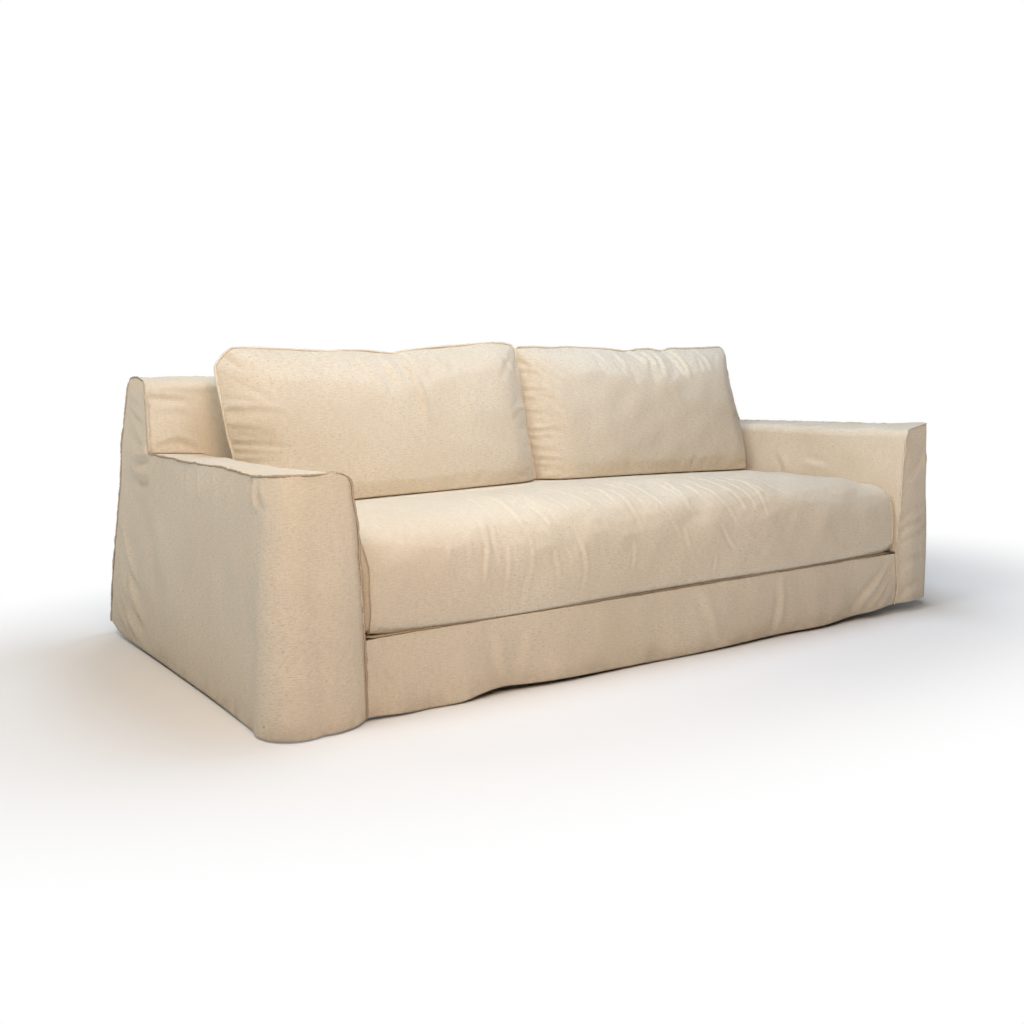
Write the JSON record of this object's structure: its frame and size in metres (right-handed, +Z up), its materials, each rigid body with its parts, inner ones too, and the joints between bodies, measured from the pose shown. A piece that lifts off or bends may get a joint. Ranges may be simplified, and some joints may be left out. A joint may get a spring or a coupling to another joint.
{
  "type": "sofa slipcover",
  "caption": "Loose linen slipcover of a long sofa with low arms, hollow underneath, with its filled bench cushion and back cushions; soft folds and a hem that stands on the floor.",
  "frame": {"origin": "centre of the footprint, on the floor that the hem reaches", "axes": "+X along the sofa, to the right of someone who faces its front; +Y towards the outside back, so the front skirt faces -Y; +Z up"},
  "size_m": [2.4468, 1.3069, 0.8796],
  "materials": {
    "linen_base": "washed oatmeal linen with slubs and flecks, matt",
    "linen_cushion": "the same linen over soft filling, matt",
    "linen_welt": "turned and stitched flange seam of the same linen, matt"
  },
  "bodies": {
    "root": {"arm_side_left": "linen_base", "arm_side_right": "linen_base", "arm_inner_left": "linen_base", "arm_inner_right": "linen_base", "back_inside": "linen_base", "back_outside": "linen_base", "deck": "linen_base", "front_skirt": "linen_base", "welt_left": "linen_welt", "welt_right": "linen_welt", "welt_back": "linen_welt", "seat_cushion": "linen_cushion", "back_cushion_left": "linen_cushion", "back_cushion_right": "linen_cushion"}
  },
  "joints": []
}
